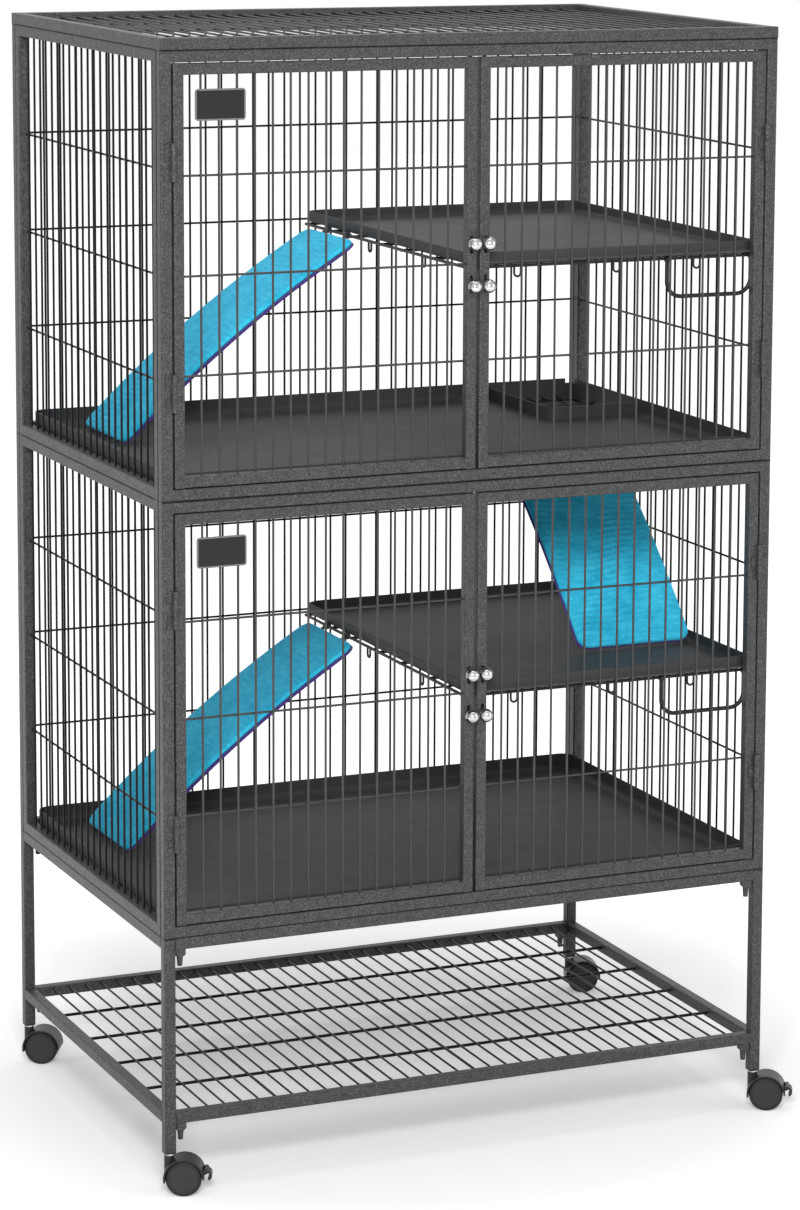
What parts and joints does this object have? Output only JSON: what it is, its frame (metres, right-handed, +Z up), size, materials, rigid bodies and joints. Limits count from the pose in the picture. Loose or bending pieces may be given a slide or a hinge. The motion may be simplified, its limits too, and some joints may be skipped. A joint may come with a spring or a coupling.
{
  "type": "ferret cage",
  "caption": "Two-storey wire cage for ferrets on a wheeled stand, with double doors, plastic pans, half shelves and fleece-covered ramps.",
  "frame": {"origin": "on the floor, under the middle of the footprint", "axes": "+X to the right seen from the doors' side, +Y to the back, +Z up"},
  "size_m": [0.968, 0.6783, 1.57],
  "materials": {
    "frame_paint": "hammered, half gloss",
    "wire_coat": "half gloss",
    "pan_plastic": "satin",
    "plate_plastic": "satin",
    "knob_chrome": "polished",
    "ramp_board": "matte",
    "fleece": "brushed",
    "lining": "matte",
    "caster_plastic": "satin",
    "wheel_plastic": "half gloss"
  },
  "bodies": {
    "cage": {"stand_post_front_left": "frame_paint", "stand_post_front_right": "frame_paint", "stand_post_back_left": "frame_paint", "stand_post_back_right": "frame_paint", "stand_rails": "frame_paint", "stand_shelf": "frame_paint", "rail_clips": "frame_paint", "lower_front_frame": "frame_paint", "lower_back_panel": "frame_paint", "lower_left_panel": "frame_paint", "lower_right_panel": "frame_paint", "lower_floor_grid": "wire_coat", "lower_floor_pan": "pan_plastic", "lower_shelf_frame": "wire_coat", "lower_shelf_tray": "pan_plastic", "upper_front_frame": "frame_paint", "upper_back_panel": "frame_paint", "upper_left_panel": "frame_paint", "upper_right_panel": "frame_paint", "upper_floor_grid": "wire_coat", "upper_floor_pan": "pan_plastic", "upper_shelf_frame": "wire_coat", "upper_shelf_tray": "pan_plastic", "shelf_braces": "wire_coat", "lid": "frame_paint", "lower_hinges": "frame_paint", "upper_hinges": "frame_paint"},
    "lower_left_door": {"lower_left_door": "frame_paint", "lower_plate": "plate_plastic"},
    "lower_left_top_bolt": {"lower_left_top_bolt": "knob_chrome"},
    "lower_left_bottom_bolt": {"lower_left_bottom_bolt": "knob_chrome"},
    "lower_right_door": {"lower_right_door": "frame_paint"},
    "lower_right_top_bolt": {"lower_right_top_bolt": "knob_chrome"},
    "lower_right_bottom_bolt": {"lower_right_bottom_bolt": "knob_chrome"},
    "upper_left_door": {"upper_left_door": "frame_paint", "upper_plate": "plate_plastic"},
    "upper_left_top_bolt": {"upper_left_top_bolt": "knob_chrome"},
    "upper_left_bottom_bolt": {"upper_left_bottom_bolt": "knob_chrome"},
    "upper_right_door": {"upper_right_door": "frame_paint"},
    "upper_right_top_bolt": {"upper_right_top_bolt": "knob_chrome"},
    "upper_right_bottom_bolt": {"upper_right_bottom_bolt": "knob_chrome"},
    "lower_ramp": {"lower_ramp_board": "ramp_board", "lower_ramp_fleece": "fleece", "lower_ramp_lining": "lining"},
    "upper_ramp": {"upper_ramp_board": "ramp_board", "upper_ramp_fleece": "fleece", "upper_ramp_lining": "lining"},
    "link_ramp": {"link_ramp_board": "ramp_board", "link_ramp_fleece": "fleece", "link_ramp_lining": "lining"},
    "caster_front_left": {"caster_front_left": "caster_plastic"},
    "wheels_front_left": {"wheels_front_left": "wheel_plastic"},
    "caster_front_right": {"caster_front_right": "caster_plastic"},
    "wheels_front_right": {"wheels_front_right": "wheel_plastic"},
    "caster_back_left": {"caster_back_left": "caster_plastic"},
    "wheels_back_left": {"wheels_back_left": "wheel_plastic"},
    "caster_back_right": {"caster_back_right": "caster_plastic"},
    "wheels_back_right": {"wheels_back_right": "wheel_plastic"},
    "brake_lever_left": {"brake_lever_left": "caster_plastic"},
    "brake_lever_right": {"brake_lever_right": "caster_plastic"}
  },
  "joints": [
    {"name": "lower_left_door_hinge", "type": "hinge", "parent": "cage", "child": "lower_left_door", "pos_m": [-0.45977, -0.31127, 0.657], "axis": [0, 0, -1], "range_deg": [0, 180]},
    {"name": "lower_left_top_bolt_slide", "type": "slide", "parent": "lower_left_door", "child": "lower_left_top_bolt", "axis": [0, 0, -1], "range_m": [-0.008, 0.012]},
    {"name": "lower_left_bottom_bolt_slide", "type": "slide", "parent": "lower_left_door", "child": "lower_left_bottom_bolt", "axis": [0, 0, 1], "range_m": [-0.008, 0.012]},
    {"name": "lower_right_door_hinge", "type": "hinge", "parent": "cage", "child": "lower_right_door", "pos_m": [0.42023, -0.31127, 0.657], "axis": [0, 0, 1], "range_deg": [0, 180]},
    {"name": "lower_right_top_bolt_slide", "type": "slide", "parent": "lower_right_door", "child": "lower_right_top_bolt", "axis": [0, 0, -1], "range_m": [-0.008, 0.012]},
    {"name": "lower_right_bottom_bolt_slide", "type": "slide", "parent": "lower_right_door", "child": "lower_right_bottom_bolt", "axis": [0, 0, 1], "range_m": [-0.008, 0.012]},
    {"name": "upper_left_door_hinge", "type": "hinge", "parent": "cage", "child": "upper_left_door", "pos_m": [-0.45977, -0.31127, 1.255], "axis": [0, 0, -1], "range_deg": [0, 180]},
    {"name": "upper_left_top_bolt_slide", "type": "slide", "parent": "upper_left_door", "child": "upper_left_top_bolt", "axis": [0, 0, -1], "range_m": [-0.008, 0.012]},
    {"name": "upper_left_bottom_bolt_slide", "type": "slide", "parent": "upper_left_door", "child": "upper_left_bottom_bolt", "axis": [0, 0, 1], "range_m": [-0.008, 0.012]},
    {"name": "upper_right_door_hinge", "type": "hinge", "parent": "cage", "child": "upper_right_door", "pos_m": [0.42023, -0.31127, 1.255], "axis": [0, 0, 1], "range_deg": [0, 180]},
    {"name": "upper_right_top_bolt_slide", "type": "slide", "parent": "upper_right_door", "child": "upper_right_top_bolt", "axis": [0, 0, -1], "range_m": [-0.008, 0.012]},
    {"name": "upper_right_bottom_bolt_slide", "type": "slide", "parent": "upper_right_door", "child": "upper_right_bottom_bolt", "axis": [0, 0, 1], "range_m": [-0.008, 0.012]},
    {"name": "lower_ramp_lift", "type": "hinge", "parent": "cage", "child": "lower_ramp", "pos_m": [-0.02777, 0.18123, 0.65025], "axis": [0, 1, 0], "range_deg": [0, 15]},
    {"name": "upper_ramp_lift", "type": "hinge", "parent": "cage", "child": "upper_ramp", "pos_m": [-0.02777, 0.18123, 1.24825], "axis": [0, 1, 0], "range_deg": [0, 15]},
    {"name": "link_ramp_lift", "type": "hinge", "parent": "cage", "child": "link_ramp", "pos_m": [0.32423, 0.23823, 0.96025], "axis": [-1, 0, 0], "range_deg": [0, 15]},
    {"name": "caster_front_left_swivel", "type": "hinge", "parent": "cage", "child": "caster_front_left", "pos_m": [-0.46877, -0.29927, 0.057], "axis": [0, 0, 1], "continuous": true},
    {"name": "wheels_front_left_spin", "type": "hinge", "parent": "caster_front_left", "child": "wheels_front_left", "pos_m": [-0.45004, -0.30761, 0.0245], "axis": [0.4067, 0.9135, 0], "continuous": true},
    {"name": "caster_front_right_swivel", "type": "hinge", "parent": "cage", "child": "caster_front_right", "pos_m": [0.42923, -0.29927, 0.057], "axis": [0, 0, 1], "continuous": true},
    {"name": "wheels_front_right_spin", "type": "hinge", "parent": "caster_front_right", "child": "wheels_front_right", "pos_m": [0.44698, -0.30952, 0.0245], "axis": [0.5, 0.866, 0], "continuous": true},
    {"name": "caster_back_left_swivel", "type": "hinge", "parent": "cage", "child": "caster_back_left", "pos_m": [-0.46877, 0.31973, 0.057], "axis": [0, 0, 1], "continuous": true},
    {"name": "wheels_back_left_spin", "type": "hinge", "parent": "caster_back_left", "child": "wheels_back_left", "pos_m": [-0.45084, 0.30979, 0.0245], "axis": [0.4848, 0.8746, 0], "continuous": true},
    {"name": "caster_back_right_swivel", "type": "hinge", "parent": "cage", "child": "caster_back_right", "pos_m": [0.42923, 0.31973, 0.057], "axis": [0, 0, 1], "continuous": true},
    {"name": "wheels_back_right_spin", "type": "hinge", "parent": "caster_back_right", "child": "wheels_back_right", "pos_m": [0.44849, 0.31272, 0.0245], "axis": [0.342, 0.9397, 0], "continuous": true},
    {"name": "brake_lever_left_press", "type": "hinge", "parent": "caster_front_left", "child": "brake_lever_left", "pos_m": [-0.42256, -0.31985, 0.03313], "axis": [0.4067, 0.9135, 0], "range_deg": [0, 20]},
    {"name": "brake_lever_right_press", "type": "hinge", "parent": "caster_front_right", "child": "brake_lever_right", "pos_m": [0.47304, -0.32456, 0.03313], "axis": [0.5, 0.866, 0], "range_deg": [0, 20]}
  ]
}
